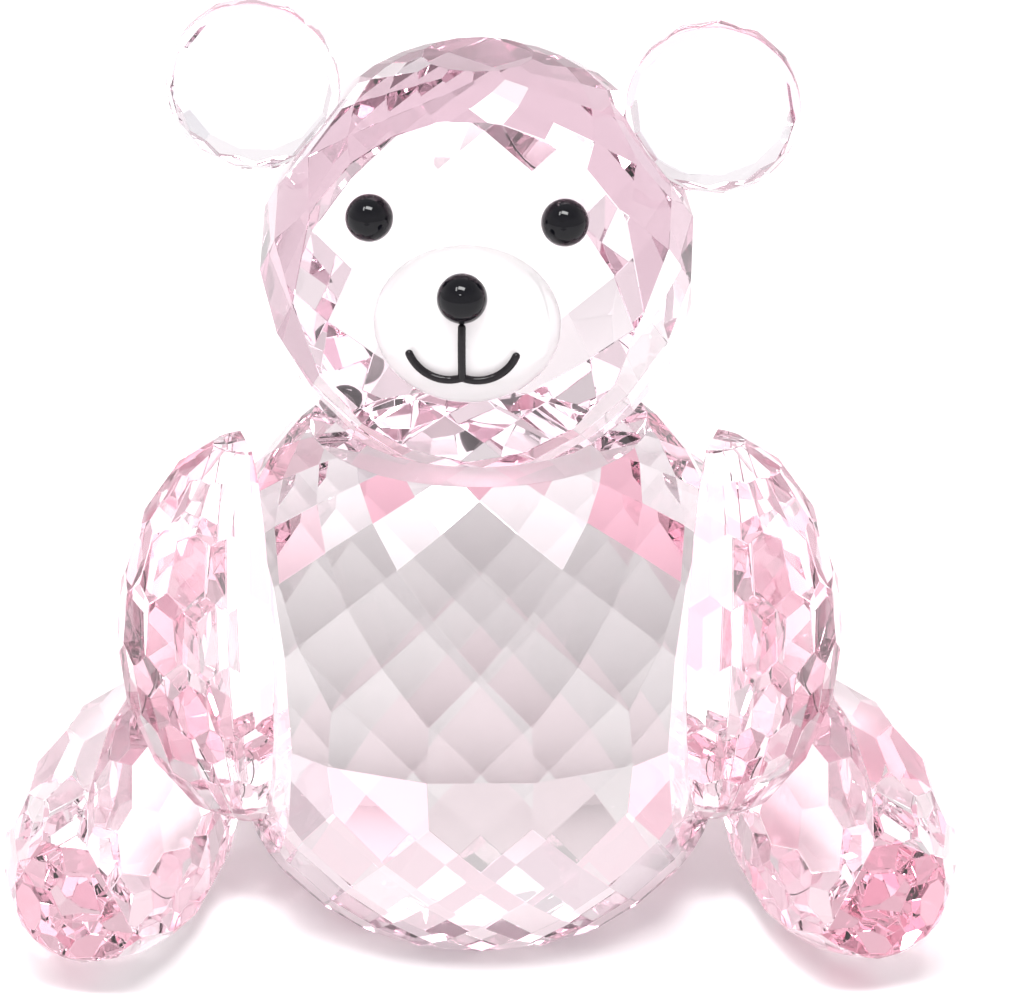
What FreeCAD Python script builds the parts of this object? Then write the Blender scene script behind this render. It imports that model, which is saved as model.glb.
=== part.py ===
import FreeCAD, Part
import math
import os

import Sketcher
from FreeCAD import Placement, Rotation, Vector

# A seated teddy bear about 65 mm tall, glued together from separately cut pink crystals.
# Frame: millimetres, +Z up, the bear faces -Y. The origin is the centre of the underside
# of the body, which stands on the table with the two legs. "left" and "right" are the
# viewer's, looking at the bear's face.

# ---------------------------------------------------------------- driving dimensions

DIMENSIONS = {
    # body: a faceted ball, a little taller than wide, with a level girdle edge half way up,
    # a flat underside, a flat top and four side seats
    "body_radius": 20.4,
    "body_half_height": 22.2,
    "body_centre_height": 17.5,
    "body_facets_per_ring": 18,
    "body_top_height": 35.5,
    "base_rim_radius": 12.9,
    "base_rim_slope": 38,
    # head: a faceted ball with a flat face and a flat neck
    "head_radius": 15.15,
    "head_facets_per_ring": 14,
    "head_turn": -4.5,
    "head_back_offset": 0.8,
    "neck_distance": 11.6,
    "crown_distance": 14.7,
    "face_distance": 9.45,
    "face_tilt": 6,
    # glue layers
    "glue_thickness": 0.12,
    "neck_glue_radius": 8.6,
    "muzzle_glue_radius": 4.9,
    "bead_glue_radius": 1.1,
    "ear_glue_radius": 1.5,
    "arm_glue_radius": 6.0,
    "arm_glue_height": 19.5,
    "leg_glue_radius": 2.9,
    # ears: thick round discs with a flat ground where they meet the head
    "ear_radius": 5.9,
    "ear_thickness": 3.4,
    "ear_facets_per_ring": 14,
    "ear_front_radius": 5.4,
    "ear_front_slope": 40,
    "ear_rim_slope": 15,
    "ear_back_radius": 4.9,
    "ear_back_slope": 50,
    "ear_seat_distance": 14.3,
    "ear_edge_distance": 5.2,
    "ear_left_elevation": 39,
    "ear_right_elevation": 35.5,
    # face pieces, measured along the face from the centre of the head
    "muzzle_half_width": 6.3,
    "muzzle_half_height": 5.4,
    "muzzle_depth": 4.4,
    "muzzle_drop": 2.0,
    "eye_radius": 1.6,
    "eye_back": 0.7,
    "eye_half_spacing": 6.5,
    "eye_rise": 5.25,
    "nose_radius": 1.68,
    "nose_back": 0.7,
    "nose_rise": 2.6,
    "nose_lift": 0.12,
    "nose_drop_depth": 0.4,
    # mouth: one wire bent along the dome of the muzzle, a hair above it
    "wire_radius": 0.27,
    "wire_lift": 0.08,
    "mouth_drop": 2.45,
    "mouth_dip": 0.1,
    "mouth_half_width": 3.4,
    "mouth_end_rise": 1.4,
    # arms: long crystals bonded to the front quarters of the body
    "arm_direction": 15,
    "arm_seat_distance": 16.5,
    "arm_axis_distance": 16.4,
    "arm_thickness": 9.5,
    "arm_half_width": 7.0,
    "arm_half_length": 14.8,
    "arm_end_distance": 14.36,
    "arm_centre_height": 21.4,
    "arm_facets_per_ring": 18,
    # legs: egg-shaped crystals lying on the table beside the body
    "leg_radius": 7.8,
    "leg_half_length": 16.6,
    "leg_centre_side": 24.7,
    "leg_centre_front": 5.7,
    "leg_splay": 12,
    "leg_sole_distance": 14.0,
    "leg_heel_distance": 15.77,
    "leg_seat_distance": 19.3,
    "leg_facets_per_ring": 12,
    # the flat ground on each leg where the arm above rests against it: the direction and
    # distance of the arm's side of that touch, facing out, back and down
    "rest_azimuth": 12,
    "rest_fall": 26,
    "rest_distance": 14.34,
}

# Rows of facets, as degrees of latitude from the middle of each piece.
ARM_ROWS = (-68, -48, -29, -10, 10, 29, 48, 68)
LEG_ROWS = (-66, -44, -22, 0, 22, 44, 64)
HIGHEST_BALL_ROW = 72

ROUGH_BLOCK_HALF = 60.0
SAME_POINT = 1e-6

doc = FreeCAD.newDocument("CrystalBear")
sheet = doc.addObject("Spreadsheet::Sheet", "Dimensions")
for row, (alias, value) in enumerate(DIMENSIONS.items(), start=1):
    sheet.set(f"A{row}", alias.replace("_", " "))
    sheet.set(f"B{row}", str(value))
    sheet.setAlias(f"B{row}", alias)
doc.recompute()


def size(alias):
    """A driving dimension, read from the sheet."""
    return float(sheet.get(alias))


GLUE = size("glue_thickness")
SIDES = {"left": -1, "right": 1}

# ---------------------------------------------------------------- cutting a crystal


def direction(azimuth, latitude):
    """Unit vector from angles in radians: azimuth about +Z from +X, latitude up from XY."""
    level = math.cos(latitude)
    return Vector(level * math.cos(azimuth), level * math.sin(azimuth), math.sin(latitude))


def block_faces(half):
    """The six faces of the rough cube that a crystal is cut from, as lists of corners."""
    faces = []
    for axis in range(3):
        for sign in (-1, 1):
            face = []
            for one, two in ((-1, -1), (-1, 1), (1, 1), (1, -1)):
                corner = [0.0, 0.0, 0.0]
                corner[axis] = sign * half
                corner[(axis + 1) % 3] = one * half
                corner[(axis + 2) % 3] = two * half
                face.append(tuple(corner))
            faces.append(face)
    return faces


def crossing(start, end, start_height, end_height):
    """Where the edge between two corners meets the cutting plane, the same from both ends."""
    if start > end:
        start, end = end, start
        start_height, end_height = end_height, start_height
    part = start_height / (start_height - end_height)
    return tuple(a + part * (b - a) for a, b in zip(start, end))


def in_order(corners, normal):
    """The corners of a convex cut, sorted around its middle."""
    points = [Vector(*corner) for corner in corners]
    middle = sum(points, Vector()) * (1.0 / len(points))
    across = (points[0] - middle).normalize()
    along = normal.cross(across)

    def turn(corner):
        offset = Vector(*corner) - middle
        return math.atan2(offset.dot(along), offset.dot(across))

    return sorted(corners, key=turn)


def cut(faces, normal, distance):
    """Grind a convex block down to one plane, and close the cut with a new facet."""
    touch = SAME_POINT
    kept = []
    rim = set()
    for face in faces:
        heights = [normal.dot(Vector(*corner)) - distance for corner in face]
        if max(heights) <= touch:
            kept.append(face)
            rim.update(c for c, height in zip(face, heights) if height >= -touch)
            continue
        trimmed = []
        for index, corner in enumerate(face):
            height = heights[index]
            before = heights[index - 1]
            if (height > touch and before < -touch) or (height < -touch and before > touch):
                point = crossing(face[index - 1], corner, before, height)
                trimmed.append(point)
                rim.add(point)
            if height <= touch:
                trimmed.append(corner)
                if height >= -touch:
                    rim.add(corner)
        if len(trimmed) > 2:
            kept.append(trimmed)
    if len(kept) < len(faces) or any(old is not new for old, new in zip(faces, kept)):
        if len(rim) > 2:
            kept.append(in_order(rim, normal))
    return kept


def cut_crystal(planes):
    """A solid bounded by the planes, each an outward unit normal and its distance."""
    faces = block_faces(ROUGH_BLOCK_HALF)
    for normal, distance in planes:
        faces = cut(faces, normal, distance)
    polygons = []
    for face in faces:
        wire = Part.makePolygon([Vector(*corner) for corner in face + face[:1]])
        polygons.append(Part.Face(wire))
    shell = Part.Shell(polygons)
    shell.sewShape()
    solid = Part.Solid(Part.Shell(shell.Faces))
    if solid.Volume < 0:
        solid.reverse()
    return solid


def diamond_rows(radius, per_ring):
    """Rows of kite facets whose corners all lie on a ball.

    Works out the latitudes of the corner rings from the equator up: each kite spans three
    rings, and its plane holds its top, its bottom and the middle of its two side corners.
    Returns (latitude of the facet's normal, distance, staggered) for rows up and down.
    """
    half_step = math.pi / per_ring
    rows = [(0.0, radius * math.cos(half_step), False)]
    lower, side = 0.0, half_step
    staggered = True
    while side < math.radians(HIGHEST_BALL_ROW):
        start = (radius * math.cos(lower), radius * math.sin(lower))
        middle = (radius * math.cos(side) * math.cos(half_step), radius * math.sin(side))
        run = (middle[0] - start[0], middle[1] - start[1])
        reach = -2 * (start[0] * run[0] + start[1] * run[1]) / (run[0] ** 2 + run[1] ** 2)
        upper = math.atan2(start[1] + reach * run[1], start[0] + reach * run[0])
        normal_latitude = math.atan2(-run[0], run[1])
        distance = start[0] * math.cos(normal_latitude) + start[1] * math.sin(normal_latitude)
        rows.append((normal_latitude, distance, staggered))
        rows.append((-normal_latitude, distance, staggered))
        lower, side = side, upper
        staggered = not staggered
    return rows


def ball_planes(radius, per_ring, half_height, girdle):
    """The kite facets of a diamond-cut ball about the origin, stretched to half_height.

    With a girdle, the middle row is left out, so that the rows above and below it meet in
    a level edge all round the ball.
    """
    stretch = half_height / radius
    step = 2 * math.pi / per_ring
    planes = []
    for latitude, distance, staggered in diamond_rows(radius, per_ring):
        if girdle and latitude == 0:
            continue
        first = step / 2 if staggered else 0.0
        for index in range(per_ring):
            normal = direction(first + index * step, latitude)
            normal.z /= stretch
            shorter = normal.Length
            planes.append((normal.normalize(), distance / shorter))
    return planes


def long_planes(semi_axes, per_ring, rows):
    """Staggered facets touching an ellipsoid about the origin, in rings about +Z."""
    step = 2 * math.pi / per_ring
    planes = []
    for row, latitude in enumerate(rows):
        first = step / 2 * (row % 2)
        for index in range(per_ring):
            on_ball = direction(first + index * step, math.radians(latitude))
            slope = Vector(*(n / s for n, s in zip(on_ball, semi_axes)))
            normal = slope.normalize()
            reach = math.sqrt(sum((s * n) ** 2 for s, n in zip(semi_axes, normal)))
            planes.append((normal, reach))
    return planes


def moved_plane(plane, placement):
    """A plane of one piece, in the frame that the placement puts it in."""
    normal = placement.Rotation.multVec(plane[0])
    return (normal, plane[1] + normal.dot(placement.Base))


def seen_from(plane, placement):
    """A plane of the whole object, in the own frame of a piece with this placement."""
    return moved_plane(plane, placement.inverse())


def opposite(plane, gap=0.0):
    """The plane that faces this one across a gap."""
    return (plane[0] * -1, -(plane[1] + gap))


# ---------------------------------------------------------------- placements and seats

BODY_PLACE = Placement(Vector(0, 0, size("body_centre_height")), Rotation())

HEAD_CENTRE = Vector(
    0,
    size("head_back_offset"),
    size("body_top_height") + GLUE + size("neck_distance"),
)
HEAD_PLACE = Placement(HEAD_CENTRE, Rotation(Vector(0, 0, 1), size("head_turn")))

# The face: its own +Z is the outward normal, its +Y runs up the forehead.
FACE_TILT = Rotation(Vector(1, 0, 0), 90 - size("face_tilt"))
FACE_PLACE = HEAD_PLACE.multiply(Placement(Vector(), FACE_TILT))


def ear_elevation(side):
    return math.radians(size(f"ear_{side}_elevation"))


def ear_outward(side):
    """Direction from the centre of the head to the ear, in the head's frame."""
    angle = ear_elevation(side)
    return Vector(SIDES[side] * math.cos(angle), 0, math.sin(angle))


def ear_place(side):
    """The ear's own frame: +Z out of its front, -Y towards the head."""
    angle = size(f"ear_{side}_elevation")
    stand = Rotation(Vector(1, 0, 0), 90)
    lean = Rotation(Vector(0, 1, 0), SIDES[side] * (90 - angle))
    reach = size("ear_seat_distance") + GLUE + size("ear_edge_distance")
    return HEAD_PLACE.multiply(Placement(ear_outward(side) * reach, lean.multiply(stand)))


def arm_normal(side):
    angle = math.radians(size("arm_direction"))
    return Vector(SIDES[side] * math.cos(angle), -math.sin(angle), 0)


def arm_place(side):
    """The arm's own frame: +X away from the body, +Z up."""
    angle = size("arm_direction")
    turn = -angle if side == "right" else 180 + angle
    centre = arm_normal(side) * size("arm_axis_distance")
    centre.z = size("arm_centre_height")
    return Placement(centre, Rotation(Vector(0, 0, 1), turn))


def arm_seat(side):
    """The flat ground on the body for the arm, as a plane of the whole object."""
    return (arm_normal(side), size("arm_seat_distance"))


def leg_place(side):
    """The leg's own frame: +Z along the leg towards the foot, +Y up."""
    sign = SIDES[side]
    centre = Vector(sign * size("leg_centre_side"), -size("leg_centre_front"), size("leg_radius"))
    lay = Rotation(Vector(1, 0, 0), 90)
    splay = Rotation(Vector(0, 0, 1), sign * size("leg_splay"))
    return Placement(centre, splay.multiply(lay))


def leg_normal(side):
    """Direction from the centre of the body to the leg, square to the leg's own length."""
    place = leg_place(side)
    along = place.Rotation.multVec(Vector(0, 0, 1))
    offset = place.Base - BODY_PLACE.Base
    across = offset - along * offset.dot(along)
    return across.normalize()


def leg_seat(side):
    """The flat ground on the body for the leg, as a plane of the whole object."""
    normal = leg_normal(side)
    return (normal, size("leg_seat_distance") + normal.dot(BODY_PLACE.Base))


def rest_plane(side):
    """The arm's side of its touch with the leg, as a plane of the whole object.

    Only the leg is ground flat there, a glue layer's thickness away from this plane.
    """
    fall = math.radians(size("rest_fall"))
    azimuth = math.radians(size("rest_azimuth"))
    normal = direction(azimuth, -fall)
    normal.x *= SIDES[side]
    return (normal, size("rest_distance"))


# ---------------------------------------------------------------- making the nodes

nodes = []


def keep(label, item):
    """Name a finished sub-part."""
    item.Label = label
    nodes.append(item)
    return item


def crystal(label, planes, placement, trim=None):
    """A faceted crystal as a feature, cut in its own frame and then put in its place."""
    shape = cut_crystal(planes)
    if trim is not None:
        shape = shape.common(trim).Solids[0]
    item = doc.addObject("Part::Feature", label)
    item.Shape = shape
    item.Placement = placement
    return keep(label, item)


def make_body():
    radius = size("body_radius")
    down = Vector(0, 0, -1)
    half_height = size("body_half_height")
    planes = ball_planes(radius, int(size("body_facets_per_ring")), half_height, girdle=True)
    planes.append((down, size("body_centre_height")))
    planes.append((Vector(0, 0, 1), size("body_top_height") - size("body_centre_height")))
    for side in SIDES:
        planes.append(seen_from(arm_seat(side), BODY_PLACE))
        planes.append(seen_from(leg_seat(side), BODY_PLACE))
    # The rim of the underside is ground round, as a cone that opens upwards.
    rim = size("base_rim_radius")
    rise = 2 * radius
    spread = rise / math.tan(math.radians(size("base_rim_slope")))
    foot = Vector(0, 0, -size("body_centre_height"))
    cone = Part.makeCone(rim, rim + spread, rise, foot, Vector(0, 0, 1))
    crystal("body", planes, BODY_PLACE, cone)


def make_head():
    radius = size("head_radius")
    planes = ball_planes(radius, int(size("head_facets_per_ring")), radius, girdle=False)
    planes.append((Vector(0, 0, -1), size("neck_distance")))
    planes.append((Vector(0, 0, 1), size("crown_distance")))
    planes.append((FACE_TILT.multVec(Vector(0, 0, 1)), size("face_distance")))
    for side in SIDES:
        planes.append((ear_outward(side), size("ear_seat_distance")))
    crystal("head", planes, HEAD_PLACE)


def ring_planes(count, first, slope, radius, height):
    """A ring of facets that all touch one circle about +Z, facing up by slope degrees."""
    latitude = math.radians(slope)
    distance = math.cos(latitude) * radius + math.sin(latitude) * height
    step = 2 * math.pi / count
    return [(direction((first + index) * step, latitude), distance) for index in range(count)]


def make_ear(side):
    """A round disc: flat in front, facets round both edges, one flat ground on its rim."""
    radius = size("ear_radius")
    half = size("ear_thickness") / 2
    count = int(size("ear_facets_per_ring"))
    planes = [(Vector(0, 0, 1), half), (Vector(0, 0, -1), half)]
    planes += ring_planes(count, 0.5, size("ear_front_slope"), size("ear_front_radius"), half)
    planes += ring_planes(count, 0.0, -size("ear_rim_slope"), radius, 0)
    planes += ring_planes(count, 0.5, -size("ear_back_slope"), size("ear_back_radius"), -half)
    planes.append((Vector(0, -1, 0), size("ear_edge_distance")))
    disc = Part.makeCylinder(radius, 2 * half, Vector(0, 0, -half))
    crystal(f"ear_{side}", planes, ear_place(side), disc)


def make_arm(side):
    """A long crystal with tall staggered facets and a flat inner side."""
    semi_axes = (size("arm_thickness"), size("arm_half_width"), size("arm_half_length"))
    planes = long_planes(semi_axes, int(size("arm_facets_per_ring")), ARM_ROWS)
    planes.append((Vector(0, 0, 1), size("arm_end_distance")))
    planes.append((Vector(0, 0, -1), size("arm_end_distance")))
    planes.append(seen_from(opposite(arm_seat(side), GLUE), arm_place(side)))
    crystal(f"arm_{side}", planes, arm_place(side))


def make_leg(side):
    """An egg-shaped crystal lying on the table, with a small flat sole."""
    radius = size("leg_radius")
    semi_axes = (radius, radius, size("leg_half_length"))
    planes = long_planes(semi_axes, int(size("leg_facets_per_ring")), LEG_ROWS)
    planes.append((Vector(0, 0, 1), size("leg_sole_distance")))
    planes.append((Vector(0, 0, -1), size("leg_heel_distance")))
    planes.append((Vector(0, -1, 0), radius))
    planes.append(seen_from(opposite(leg_seat(side), GLUE), leg_place(side)))
    planes.append(seen_from(opposite(rest_plane(side), GLUE), leg_place(side)))
    crystal(f"leg_{side}", planes, leg_place(side))


# ---------------------------------------------------------------- beads, dome and wire


def bead(label, kind, placement):
    """A glass bead with a flat back, turned from an arc; its own origin is on the flat."""
    body = doc.addObject("PartDesign::Body", label)
    sketch = body.newObject("Sketcher::SketchObject", f"{label}_profile")
    plane = next(f for f in body.Origin.OriginFeatures if f.Role == "XZ_Plane")
    sketch.AttachmentSupport = [(plane, "")]
    sketch.MapMode = "FlatFace"
    radius, centre = size(f"{kind}_radius"), size(f"{kind}_back")
    foot = math.sqrt(radius ** 2 - centre ** 2)
    circle = Part.Circle(Vector(0, centre, 0), Vector(0, 0, 1), radius)
    outline = Part.ArcOfCircle(circle, math.atan2(-centre, foot), math.pi / 2)
    arc = sketch.addGeometry(outline, False)
    flat = sketch.addGeometry(Part.LineSegment(Vector(), Vector(foot, 0, 0)), False)
    middle = sketch.addGeometry(Part.LineSegment(Vector(0, centre + radius, 0), Vector()), False)
    sketch.addConstraint(Sketcher.Constraint("Coincident", flat, 1, -1, 1))
    sketch.addConstraint(Sketcher.Constraint("Coincident", flat, 2, arc, 1))
    sketch.addConstraint(Sketcher.Constraint("Coincident", arc, 2, middle, 1))
    sketch.addConstraint(Sketcher.Constraint("Coincident", middle, 2, flat, 1))
    sketch.addConstraint(Sketcher.Constraint("Horizontal", flat))
    sketch.addConstraint(Sketcher.Constraint("Vertical", middle))
    sketch.addConstraint(Sketcher.Constraint("PointOnObject", arc, 3, -2))
    curve = sketch.addConstraint(Sketcher.Constraint("Radius", arc, radius))
    lift = sketch.addConstraint(Sketcher.Constraint("DistanceY", -1, 1, arc, 3, centre))
    sketch.setExpression(f"Constraints[{curve}]", f"Dimensions.{kind}_radius")
    sketch.setExpression(f"Constraints[{lift}]", f"Dimensions.{kind}_back")
    turned = body.newObject("PartDesign::Revolution", f"{label}_turned")
    turned.Profile = sketch
    turned.ReferenceAxis = (sketch, ["V_Axis"])
    turned.Angle = 360
    body.Placement = placement
    return keep(label, body)


def glue_disc(label, radius_alias, placement):
    """A clear layer of glue, from the origin of the placement along its +Z."""
    disc = doc.addObject("Part::Cylinder", label)
    disc.setExpression("Radius", f"Dimensions.{radius_alias}")
    disc.setExpression("Height", "Dimensions.glue_thickness")
    disc.Placement = placement
    return keep(label, disc)


def on_plane(plane, near):
    """A placement on a plane, at the foot of a point, with +Z along the plane's normal."""
    normal, distance = plane
    foot = near + normal * (distance - normal.dot(near))
    return Placement(foot, Rotation(Vector(0, 0, 1), normal))


FACE_OUT = size("face_distance")
MUZZLE_PLACE = FACE_PLACE.multiply(
    Placement(Vector(0, -size("muzzle_drop"), FACE_OUT + GLUE), Rotation())
)


def dome_height(right, up):
    """Height of the muzzle's dome over its flat back, at a place on that flat."""
    reach = (right / size("muzzle_half_width")) ** 2 + (up / size("muzzle_half_height")) ** 2
    return size("muzzle_depth") * math.sqrt(1 - reach)


def dome_normal(right, up):
    high = dome_height(right, up) / size("muzzle_depth") ** 2
    across = right / size("muzzle_half_width") ** 2
    return Vector(across, up / size("muzzle_half_height") ** 2, high).normalize()


def over_dome(right, up, lift):
    """A point above the dome, in the muzzle's own frame."""
    return Vector(right, up, dome_height(right, up)) + dome_normal(right, up) * lift


def make_muzzle():
    """A smooth oval dome with a flat back: half of an ellipsoid."""
    dome = doc.addObject("Part::Ellipsoid", "muzzle")
    dome.setExpression("Radius1", "Dimensions.muzzle_depth")
    dome.setExpression("Radius2", "Dimensions.muzzle_half_width")
    dome.setExpression("Radius3", "Dimensions.muzzle_half_height")
    dome.Angle1 = 0
    dome.Placement = MUZZLE_PLACE
    keep("muzzle", dome)
    back = FACE_PLACE.multiply(Placement(Vector(0, -size("muzzle_drop"), FACE_OUT), Rotation()))
    glue_disc("glue_muzzle", "muzzle_glue_radius", back)


def make_eyes():
    for side, sign in SIDES.items():
        spot = Vector(sign * size("eye_half_spacing"), size("eye_rise"), FACE_OUT)
        glue_disc(f"glue_eye_{side}", "bead_glue_radius", FACE_PLACE.multiply(
            Placement(spot, Rotation())))
        spot.z += GLUE
        bead(f"eye_{side}", "eye", FACE_PLACE.multiply(Placement(spot, Rotation())))


def make_nose():
    """The nose bead stands on a drop of glue that fills in down to the dome."""
    up = size("nose_rise")
    normal = dome_normal(0, up)
    turn = Rotation(Vector(0, 0, 1), normal)
    lift, depth = size("nose_lift"), size("nose_drop_depth")
    foot = Placement(over_dome(0, up, lift), turn)
    bead("nose", "nose", MUZZLE_PLACE.multiply(foot))
    start = over_dome(0, up, -depth)
    drop = Part.makeCylinder(size("bead_glue_radius"), lift + depth, start, normal)
    dome = doc.getObject("muzzle").Shape.copy()
    dome.Placement = Placement()
    item = doc.addObject("Part::Feature", "glue_nose")
    item.Shape = drop.cut(dome).Solids[0]
    item.Placement = MUZZLE_PLACE
    keep("glue_nose", item)


def wire_run(points):
    """A round wire along the arc through three points, with round ends."""
    radius = size("wire_radius")
    arc = Part.Arc(*points)
    path = Part.Wire(arc.toShape())
    start = arc.parameterAtDistance(0, arc.FirstParameter)
    heading = arc.tangent(start)[0]
    ring = Part.Wire(Part.makeCircle(radius, points[0], heading))
    tube = path.makePipeShell([ring], True, True)
    return [tube, Part.makeSphere(radius, points[0]), Part.makeSphere(radius, points[2])]


def make_mouth():
    """One black wire bent to an anchor that follows the dome of the muzzle."""
    lift = size("wire_radius") + size("wire_lift")
    low = -size("mouth_drop")
    wide = size("mouth_half_width")
    foot = over_dome(0, low, lift)
    start = size("nose_rise") - size("nose_radius")
    pieces = wire_run([over_dome(0, start, lift), over_dome(0, (start + low) / 2, lift), foot])
    for sign in SIDES.values():
        dip = over_dome(sign * 0.5 * wide, low - size("mouth_dip"), lift)
        end = over_dome(sign * wide, low + size("mouth_end_rise"), lift)
        pieces += wire_run([foot, dip, end])
    shape = pieces[0].fuse(pieces[1:]).removeSplitter()
    item = doc.addObject("Part::Feature", "mouth_wire")
    item.Shape = shape.Solids[0]
    item.Placement = MUZZLE_PLACE
    keep("mouth_wire", item)


def make_glue():
    top = Vector(0, 0, size("body_top_height"))
    top.y = size("head_back_offset")
    glue_disc("glue_neck", "neck_glue_radius", Placement(top, Rotation()))
    for side in SIDES:
        seat = moved_plane((ear_outward(side), size("ear_seat_distance")), HEAD_PLACE)
        glue_disc(f"glue_ear_{side}", "ear_glue_radius", on_plane(seat, HEAD_CENTRE))
        arm = on_plane(arm_seat(side), arm_place(side).Base)
        arm.Base.z = size("arm_glue_height")
        glue_disc(f"glue_arm_{side}", "arm_glue_radius", arm)
        leg = on_plane(leg_seat(side), BODY_PLACE.Base)
        glue_disc(f"glue_leg_{side}", "leg_glue_radius", leg)


# ---------------------------------------------------------------- build and write


def check_and_write():
    """Stop on any failed object or bad shape, then write one STEP file for each node."""
    doc.recompute()
    for item in doc.Objects:
        if "Invalid" in item.State or "Error" in item.State:
            raise RuntimeError(f"{item.Label} failed: {item.State}")
    for item in nodes:
        shape = item.Shape
        if shape.isNull() or not shape.isValid() or len(shape.Solids) != 1:
            raise RuntimeError(f"{item.Label} has a bad shape")
    os.makedirs("parts", exist_ok=True)
    for item in nodes:
        item.Shape.exportStep(f"parts/{item.Label}.step")
        print(item.Label, len(item.Shape.Faces), "faces", round(item.Shape.Volume, 2), "mm3",
              "shortest edge", round(min(edge.Length for edge in item.Shape.Edges), 3))


make_body()
make_head()
for side in SIDES:
    make_ear(side)
    make_arm(side)
    make_leg(side)
make_muzzle()
make_eyes()
doc.recompute()
make_nose()
make_mouth()
make_glue()
check_and_write()
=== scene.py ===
import math

import bmesh
import bpy
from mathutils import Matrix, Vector, noise as field


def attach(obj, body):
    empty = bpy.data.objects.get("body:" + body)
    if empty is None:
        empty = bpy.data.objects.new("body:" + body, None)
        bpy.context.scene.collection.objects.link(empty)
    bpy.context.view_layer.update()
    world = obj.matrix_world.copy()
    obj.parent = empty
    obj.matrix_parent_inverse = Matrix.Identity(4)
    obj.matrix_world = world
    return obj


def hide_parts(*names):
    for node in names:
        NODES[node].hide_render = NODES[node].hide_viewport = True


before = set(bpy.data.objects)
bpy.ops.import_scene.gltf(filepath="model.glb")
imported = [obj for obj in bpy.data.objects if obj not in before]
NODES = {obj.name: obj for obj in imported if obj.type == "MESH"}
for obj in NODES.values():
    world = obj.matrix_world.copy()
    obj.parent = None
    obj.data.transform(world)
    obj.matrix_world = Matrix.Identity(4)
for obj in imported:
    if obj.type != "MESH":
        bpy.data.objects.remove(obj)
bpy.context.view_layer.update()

MM = 0.001
SIDES = ("left", "right")

# Glass
GLASS_IOR = 1.54
PINK = (0.93, 0.25, 0.54)
WHEEL_MARKS_PER_METRE = 900.0
POLISHED = 0.012
FROSTED = 0.20
MILKY_CLEARNESS = 0.55

# Black beads and wire
BLACK_IOR = 1.20
BLACK_COAT = 0.3
BLACK_COAT_ROUGHNESS = 0.03
SPECKS_PER_METRE = 4500.0
SPECK_DEPTH = 0.02 * MM

# Crystals and glue
SAME_POINT = 0.004 * MM
FLAT_ANGLE = math.radians(0.5)
SHARP_ANGLE = math.radians(4.0)
BEVEL = 0.045 * MM
SPECK = 0.001 * MM
GLUE_GAP = 0.006 * MM
FILM_STEPS = 64
FILM_RINGS = ((-1.0, 0.97), (0.0, 0.99), (1.0, 0.97))
FILM_WOBBLE = 0.02

# Stage, lights and camera
FLOOR_HALF = 1.5
FLOOR_DROP = 0.02 * MM
FLOOR_COLOUR = (0.93, 0.925, 0.93)
SKY_COLOUR = (1.0, 0.965, 0.975)
LIGHT_DISTANCE = 1.5
WINDOW_DIRECTION = (-0.12, -0.36, 0.93)
WINDOW_RADIANCE = 23.0
FRONT_LIGHT = 0.95
BACK_LIGHT = 1.05
ZENITH_SHARE = 0.7
LENS_MM = 145.3
SENSOR_MM = 36.0
CAMERA_PLACE_MM = (0.0, -267.0, 148.0)
CAMERA_TARGET_MM = (2.35, -2.0, 30.3)

# ---------------------------------------------------------------- material helpers


def new_material(name):
    """A node material with an empty tree, and its output node."""
    material = bpy.data.materials.new(name)
    material.use_nodes = True
    tree = material.node_tree
    tree.nodes.clear()
    output = tree.nodes.new("ShaderNodeOutputMaterial")
    return material, tree, output


def node(tree, kind, **values):
    """A shader node with its sockets set by name."""
    made = tree.nodes.new(kind)
    for name, value in values.items():
        made.inputs[name.replace("_", " ")].default_value = value
    return made


def noise(tree, scale, detail):
    """Fine noise fixed to the object's own coordinates, in cycles per metre."""
    place = tree.nodes.new("ShaderNodeTexCoord")
    texture = node(tree, "ShaderNodeTexNoise", Scale=scale, Detail=detail, Roughness=0.5)
    tree.links.new(place.outputs["Object"], texture.inputs["Vector"])
    return texture


def ranged(tree, source, low, high):
    """Spreads a 0 to 1 value over a range."""
    spread = tree.nodes.new("ShaderNodeMapRange")
    spread.inputs["To Min"].default_value = low
    spread.inputs["To Max"].default_value = high
    tree.links.new(source, spread.inputs["Value"])
    return spread.outputs["Result"]


def smooth_step(tree, source, first, last, low, high):
    """A value that goes smoothly from low to high between two points of another."""
    step = tree.nodes.new("ShaderNodeMapRange")
    step.interpolation_type = "SMOOTHSTEP"
    step.inputs["From Min"].default_value = first
    step.inputs["From Max"].default_value = last
    step.inputs["To Min"].default_value = low
    step.inputs["To Max"].default_value = high
    tree.links.new(source, step.inputs["Value"])
    return step.outputs["Result"]


def bump(tree, source, strength, depth):
    """Surface relief of a depth in metres."""
    relief = node(tree, "ShaderNodeBump", Strength=strength, Distance=depth)
    tree.links.new(source, relief.inputs["Height"])
    return relief.outputs["Normal"]


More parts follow.
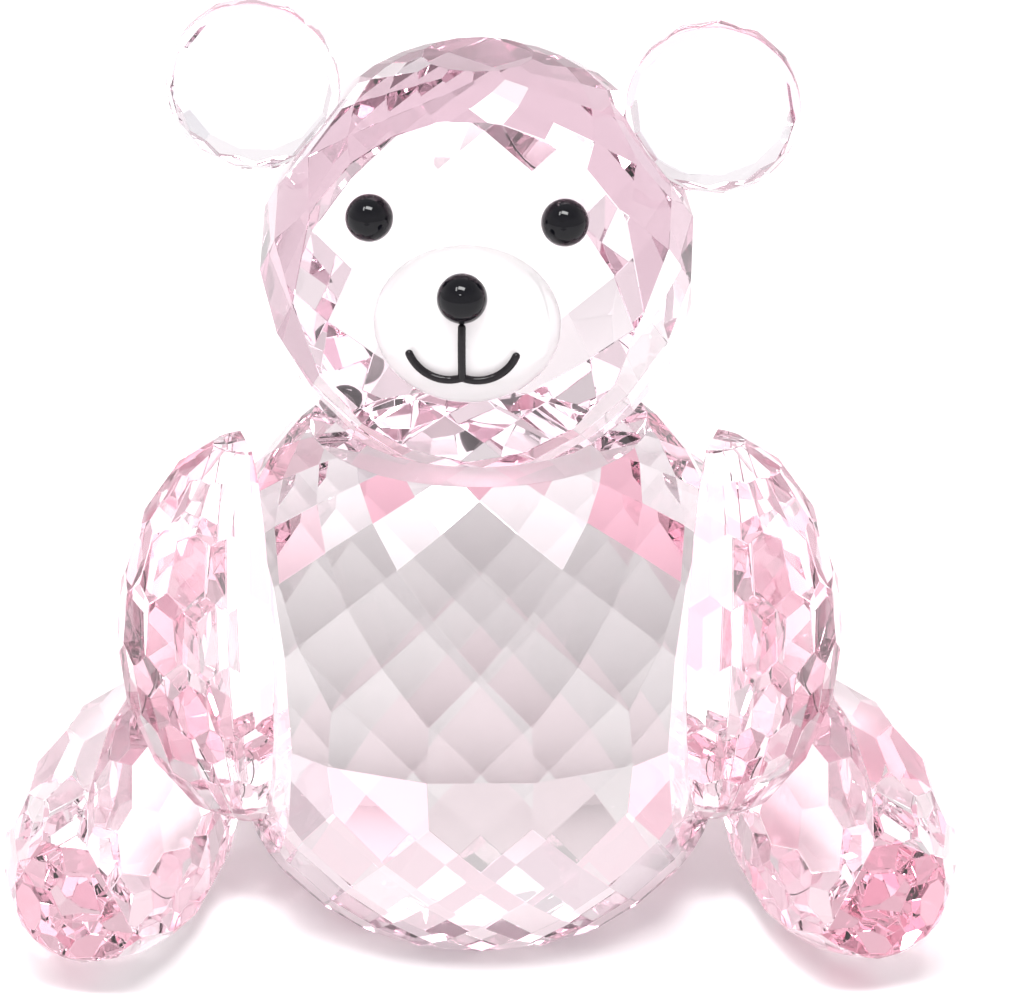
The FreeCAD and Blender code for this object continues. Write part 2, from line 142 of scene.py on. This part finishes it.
def crystal_material(name, density, clear=1.0, roughest=POLISHED, faceted=True):
    """Polished lead crystal whose pink deepens with the light's path.

    A faceted crystal also lets each facet pass a colour set in the mesh: a pink tint of the
    glass, or painted shade in greys and rose-greys that stand in for shadowed floor seen
    through the crystal.
    """
    material, tree, output = new_material(name)
    glass = node(tree, "ShaderNodeBsdfPrincipled", IOR=GLASS_IOR, Transmission_Weight=clear)
    glass.inputs["Base Color"].default_value = (1.0, 1.0, 1.0, 1.0)
    if faceted:
        # The facet colour holds pink tints and, on some facets, painted shade.
        facet = tree.nodes.new("ShaderNodeAttribute")
        facet.attribute_name = "facet_tint_and_painted_shade"
        tree.links.new(facet.outputs["Color"], glass.inputs["Base Color"])
    wheel_marks = noise(tree, WHEEL_MARKS_PER_METRE, 1.0)
    rough = ranged(tree, wheel_marks.outputs["Fac"], 0.0, roughest)
    tree.links.new(rough, glass.inputs["Roughness"])
    absorb = node(tree, "ShaderNodeVolumeAbsorption", Density=density, Color=(*PINK, 1.0))
    tree.links.new(glass.outputs["BSDF"], output.inputs["Surface"])
    tree.links.new(absorb.outputs["Volume"], output.inputs["Volume"])
    return material


def black_gloss_material(name, colour, roughness):
    """Deep black glossy glass or lacquer with a few fine specks in its polish."""
    material, tree, output = new_material(name)
    shader = node(tree, "ShaderNodeBsdfPrincipled", IOR=BLACK_IOR, Coat_Weight=BLACK_COAT,
                  Coat_Roughness=BLACK_COAT_ROUGHNESS)
    specks = noise(tree, SPECKS_PER_METRE, 2.0)
    blend = tree.nodes.new("ShaderNodeMix")
    blend.data_type = "RGBA"
    blend.inputs["A"].default_value = (*colour, 1.0)
    blend.inputs["B"].default_value = (*[3.0 * c + 0.002 for c in colour], 1.0)
    tree.links.new(specks.outputs["Fac"], blend.inputs["Factor"])
    tree.links.new(blend.outputs["Result"], shader.inputs["Base Color"])
    rough = ranged(tree, specks.outputs["Fac"], roughness, 2.0 * roughness)
    tree.links.new(rough, shader.inputs["Roughness"])
    relief = bump(tree, specks.outputs["Fac"], 0.1, SPECK_DEPTH)
    tree.links.new(relief, shader.inputs["Normal"])
    tree.links.new(shader.outputs["BSDF"], output.inputs["Surface"])
    return material


def paint(obj, material):
    obj.data.materials.clear()
    obj.data.materials.append(material)


MATERIALS = {
    "body": crystal_material("crystal_body", 2.0),
    "head": crystal_material("crystal_head", 4.0),
    "limb": crystal_material("crystal_limb", 2.5),
    "ear": crystal_material("crystal_ear", 6.0),
    "muzzle": crystal_material("crystal_muzzle", 0.8, MILKY_CLEARNESS, FROSTED, False),
    "glue": crystal_material("clear_glue", 1.0, faceted=False),
    "bead": black_gloss_material("black_bead", (0.001, 0.001, 0.002), 0.035),
    "wire": black_gloss_material("black_wire", (0.005, 0.004, 0.005), 0.10),
}

# ---------------------------------------------------------------- facet tints

# The share of red, green and blue light that passes through a facet. The pinks are tints of
# the glass; the greys are painted shade.
CLEAR = (1.0, 1.0, 1.0)
PALE = (1.0, 0.92, 0.945)
ROSE = (0.97, 0.76, 0.82)
DEEP = (0.95, 0.58, 0.68)
# Painted shade: greys and rose-greys that stand in for shadowed floor seen through the
# crystal.
PAINTED_SHADE_ROSE_GREY = (0.57, 0.44, 0.495)
PAINTED_SHADE_GREY = (0.59, 0.59, 0.585)
PAINTED_SHADE_SILVER = (0.70, 0.68, 0.70)
PAINTED_SHADE_DUSKY = (0.66, 0.50, 0.57)
PAINTED_SHADE_PALE_GREY = (0.82, 0.80, 0.82)
BASE = (0.90, 0.85, 0.87)
INNER = (0.80, 0.68, 0.72)
FAINT = (0.93, 0.925, 0.93)
FAINT_BLUE = (0.91, 0.915, 0.93)

# Mixes: the share of the facets that get each tint or painted shade. The rest are clear.
# The crown and right-cheek mixes are painted shade; the shoulder and lower body mixes blend
# pink tints with painted grey shade.
CROWN_PAINTED_SHADE_MIX = ((0.10, CLEAR), (0.12, PAINTED_SHADE_SILVER), (0.78, PAINTED_SHADE_ROSE_GREY))
CHIN_MIX = ((0.35, ROSE), (0.25, PALE))
RIGHT_CHEEK_PAINTED_SHADE_MIX = ((0.45, PAINTED_SHADE_ROSE_GREY),)
BACK_SHOULDER_MIX = ((0.30, ROSE), (0.30, PALE))
BACK_MIX = ((0.30, PALE), (0.30, FAINT))
SHOULDER_TINT_AND_SHADE_MIX = ((0.22, DEEP), (0.25, ROSE), (0.18, PAINTED_SHADE_PALE_GREY))
UNDER_GIRDLE_TINT_AND_SHADE_MIX = ((0.25, ROSE), (0.40, PAINTED_SHADE_GREY), (0.20, PAINTED_SHADE_SILVER))
LOW_BODY_TINT_AND_SHADE_MIX = ((0.40, PAINTED_SHADE_PALE_GREY), (0.30, BASE))
ARM_MIX = ((0.05, DEEP), (0.15, ROSE), (0.22, PALE))
FOOT_MIX = ((0.30, DEEP), (0.30, ROSE))
LEG_MIX = ((0.16, ROSE), (0.45, PALE))

LARGE_FACET = 90.0 * MM * MM
MIX_CELLS_PER_METRE = 380.0
MIX_TURNS = 5.0


def pick(spot, shares):
    """One of several tints, by a scattered but fixed choice for each place."""
    draw = (field.noise(spot * MIX_CELLS_PER_METRE) * MIX_TURNS) % 1.0
    for share, tint in shares:
        if draw < share:
            return tint
        draw -= share
    return CLEAR


def head_tint_and_painted_shade(spot, normal, area):
    """A clear face under a crown of painted rose-grey shade that comes lower on the left, with
    painted shade on the left side and on part of the right cheek.
    """
    if area > LARGE_FACET and normal.y < -0.8:
        return FAINT
    if normal.y > 0.2:
        return PALE if normal.z > 0.55 else CLEAR
    # Painted shade: the rose-grey crown.
    if normal.z > 0.58 + 0.55 * min(normal.x, 0.0):
        return pick(spot, CROWN_PAINTED_SHADE_MIX)
    # Painted shade: a dusky band on the left side.
    if normal.x < -0.72 and normal.z > -0.30:
        return PAINTED_SHADE_DUSKY
    if normal.z < -0.45:
        return pick(spot, CHIN_MIX)
    # Painted shade on part of the right cheek.
    if normal.x > 0.55 and normal.z > 0.0:
        return pick(spot, RIGHT_CHEEK_PAINTED_SHADE_MIX)
    return CLEAR


def body_tint_and_painted_shade(spot, normal):
    """A belly of painted grey shade above the girdle, pink shoulders with some painted
    pale-grey shade, and a paler underside with painted grey shade among pink facets.
    """
    if normal.z > 0.92:
        return CLEAR
    if normal.y > 0.25:
        return pick(spot, BACK_SHOULDER_MIX if normal.z > 0.45 else BACK_MIX)
    if abs(normal.x) > 0.80:
        return PALE
    if normal.z > 0.0:
        # Painted shade: the belly's grey, and the pale greys among the shoulders' pinks, stand
        # in for shadowed floor seen through the crystal.
        on_belly = normal.z + 0.35 * abs(normal.x) < 0.72
        return PAINTED_SHADE_GREY if on_belly else pick(spot, SHOULDER_TINT_AND_SHADE_MIX)
    # Below the girdle: pink tints mixed with painted grey shade.
    return pick(spot, UNDER_GIRDLE_TINT_AND_SHADE_MIX if normal.z > -0.30 else LOW_BODY_TINT_AND_SHADE_MIX)


def ear_tint(normal, pink_above):
    """Clear in front and behind, with a pink rim on the upper side."""
    if abs(normal.y) > 0.8:
        return FAINT_BLUE
    return ROSE if normal.z > pink_above else CLEAR


def facet_tint_and_painted_shade(name, spot, normal, area):
    """How much of each colour a facet lets through, from where it is on its crystal: a pink
    tint of the glass, or painted grey shade.
    """
    if name == "head":
        return head_tint_and_painted_shade(spot, normal, area)
    if name == "body":
        return body_tint_and_painted_shade(spot, normal)
    if name.startswith("arm"):
        return INNER if area > LARGE_FACET else pick(spot, ARM_MIX)
    if name.startswith("leg"):
        return pick(spot, FOOT_MIX if normal.y < -0.35 else LEG_MIX)
    return ear_tint(normal, 0.0 if name == "ear_right" else 0.55)


# ---------------------------------------------------------------- crystals and glue


def place_piece(piece_name, shape, material, replaced):
    """Turns a finished bmesh into a piece of the bear that stands in for a CAD node."""
    mesh = bpy.data.meshes.new(piece_name)
    shape.to_mesh(mesh)
    shape.free()
    piece = bpy.data.objects.new(piece_name, mesh)
    bpy.context.scene.collection.objects.link(piece)
    paint(piece, material)
    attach(piece, "root")
    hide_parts(replaced)


def cut_crystal(name, material):
    """The crystal of a CAD node with whole facets, whose sharp edges are broken by a bevel."""
    shape = bmesh.new()
    shape.from_mesh(NODES[name].data)
    bmesh.ops.remove_doubles(shape, verts=shape.verts, dist=SAME_POINT)
    bmesh.ops.dissolve_limit(
        shape, angle_limit=FLAT_ANGLE, verts=shape.verts, edges=shape.edges)
    # Each facet's pink tint or painted grey shade, kept as a colour attribute.
    tints_and_painted_shade = shape.faces.layers.float_color.new("facet_tint_and_painted_shade")
    for face in shape.faces:
        through = facet_tint_and_painted_shade(name, face.calc_center_median(), face.normal, face.calc_area())
        # The shader lets through the square root of its base colour at each surface.
        face[tints_and_painted_shade] = (*[share * share for share in through], 1.0)
    sharp = [e for e in shape.edges if e.calc_face_angle(0.0) > SHARP_ANGLE]
    bmesh.ops.bevel(
        shape, geom=sharp, offset=BEVEL, offset_type="OFFSET", segments=1,
        profile=0.5, affect="EDGES", clamp_overlap=True)
    bmesh.ops.dissolve_degenerate(shape, dist=SPECK, edges=shape.edges)
    place_piece("cut_" + name, shape, material, name)


def glue_film(name):
    """A clear film of glue inside the space of a CAD glue disc, with an uneven edge.

    The disc's middle, direction and radius come from the CAD node. The film stops short of
    the two crystals by a few micrometres, so that no two surfaces lie in one place.
    """
    corners = [v.co.copy() for v in NODES[name].data.vertices]
    middle = sum(corners, Vector()) / len(corners)
    flat = max(NODES[name].data.polygons, key=lambda p: p.area).normal.copy()
    radius = max((c - middle - flat * flat.dot(c - middle)).length for c in corners)
    half = max(abs(flat.dot(c - middle)) for c in corners) - GLUE_GAP
    across = flat.orthogonal().normalized()
    along = flat.cross(across)
    shape = bmesh.new()
    rings = []
    for height, inset in FILM_RINGS:
        ring = []
        for step in range(FILM_STEPS):
            turn = math.tau * step / FILM_STEPS
            wave = 1.0 + math.sin(3 * turn + 0.7) * math.cos(5 * turn)
            wobble = 1.0 - FILM_WOBBLE * wave
            spot = across * math.cos(turn) + along * math.sin(turn)
            ring.append(shape.verts.new(
                middle + spot * radius * inset * wobble + flat * half * height))
        rings.append(ring)
    for lower, upper in zip(rings, rings[1:]):
        for step in range(FILM_STEPS):
            after = (step + 1) % FILM_STEPS
            shape.faces.new((lower[step], lower[after], upper[after], upper[step]))
    shape.faces.new(rings[0][::-1])
    shape.faces.new(rings[-1])
    place_piece("film_" + name, shape, MATERIALS["glue"], name)


cut_crystal("body", MATERIALS["body"])
cut_crystal("head", MATERIALS["head"])
for side in SIDES:
    cut_crystal("ear_" + side, MATERIALS["ear"])
    cut_crystal("arm_" + side, MATERIALS["limb"])
    cut_crystal("leg_" + side, MATERIALS["limb"])

paint(NODES["muzzle"], MATERIALS["muzzle"])
paint(NODES["nose"], MATERIALS["bead"])
paint(NODES["mouth_wire"], MATERIALS["wire"])
for side in SIDES:
    paint(NODES["eye_" + side], MATERIALS["bead"])
for name in list(NODES):
    if name.startswith("glue_") and name != "glue_nose":
        glue_film(name)
paint(NODES["glue_nose"], MATERIALS["glue"])

# ---------------------------------------------------------------- stage, lights and camera


def make_floor():
    """A plain pale floor that reaches past every view."""
    half = FLOOR_HALF
    mesh = bpy.data.meshes.new("floor")
    mesh.from_pydata(
        [(-half, -half, 0), (half, -half, 0), (half, half, 0), (-half, half, 0)],
        [], [(0, 1, 2, 3)])
    floor = bpy.data.objects.new("floor", mesh)
    bpy.context.scene.collection.objects.link(floor)
    floor.location.z = -FLOOR_DROP
    material, tree, output = new_material("pale_floor")
    shader = node(tree, "ShaderNodeBsdfPrincipled", Roughness=0.6)
    shader.inputs["Base Color"].default_value = (*FLOOR_COLOUR, 1.0)
    tree.links.new(shader.outputs["BSDF"], output.inputs["Surface"])
    paint(floor, material)


def make_world():
    """Soft studio light: a bright low band behind the bear, dimmer overhead and in front."""
    world = bpy.data.worlds.new("studio")
    bpy.context.scene.world = world
    world.use_nodes = True
    tree = world.node_tree
    tree.nodes.clear()
    output = tree.nodes.new("ShaderNodeOutputWorld")
    light = node(tree, "ShaderNodeBackground", Color=(*SKY_COLOUR, 1.0))
    place = tree.nodes.new("ShaderNodeTexCoord")
    split = tree.nodes.new("ShaderNodeSeparateXYZ")
    tree.links.new(place.outputs["Generated"], split.inputs["Vector"])
    behind = smooth_step(tree, split.outputs["Y"], -0.35, 0.35, FRONT_LIGHT, BACK_LIGHT)
    overhead = smooth_step(tree, split.outputs["Z"], 0.30, 0.75, 1.0, ZENITH_SHARE)
    strength = tree.nodes.new("ShaderNodeMath")
    strength.operation = "MULTIPLY"
    tree.links.new(behind, strength.inputs[0])
    tree.links.new(overhead, strength.inputs[1])
    tree.links.new(strength.outputs["Value"], light.inputs["Strength"])
    tree.links.new(light.outputs["Background"], output.inputs["Surface"])


def window_pane(name, shift, width, height):
    """One soft white pane of the window, which faces the bear."""
    data = bpy.data.lights.new(name, "AREA")
    data.shape = "RECTANGLE"
    data.size, data.size_y = width, height
    data.energy = WINDOW_RADIANCE * math.pi * width * height
    lamp = bpy.data.objects.new(name, data)
    bpy.context.scene.collection.objects.link(lamp)
    outward = Vector(WINDOW_DIRECTION).normalized()
    lamp.location = outward * LIGHT_DISTANCE + Vector((shift, 0.0, 0.0))
    lamp.rotation_mode = "QUATERNION"
    lamp.rotation_quaternion = outward.to_track_quat("Z", "Y")


def make_lights():
    """A window of two panes high in front, a little to the left."""
    window_pane("pane_wide", 0.16, 0.72, 0.36)
    window_pane("pane_narrow", -0.42, 0.14, 0.48)


def make_camera():
    """A long lens in front of the bear and a little above it."""
    data = bpy.data.cameras.new("camera")
    camera = bpy.data.objects.new("camera", data)
    bpy.context.scene.collection.objects.link(camera)
    bpy.context.scene.camera = camera
    data.lens = LENS_MM
    data.sensor_width = SENSOR_MM
    data.clip_start, data.clip_end = 0.01, 10.0
    camera.location = Vector(CAMERA_PLACE_MM) * MM
    target = Vector(CAMERA_TARGET_MM) * MM
    camera.rotation_mode = "QUATERNION"
    camera.rotation_quaternion = (target - camera.location).to_track_quat("-Z", "Y")


def set_quality():
    """Enough bounces for light to cross several crystals, and colours kept as they are."""
    scene = bpy.context.scene
    scene.view_settings.view_transform = "Standard"
    scene.cycles.max_bounces = 20
    scene.cycles.transmission_bounces = 20
    scene.cycles.glossy_bounces = 16
    scene.cycles.diffuse_bounces = 4
    scene.cycles.transparent_max_bounces = 16
    scene.cycles.blur_glossy = 0.2
    scene.cycles.use_denoising = True


make_floor()
make_world()
make_lights()
make_camera()
set_quality()
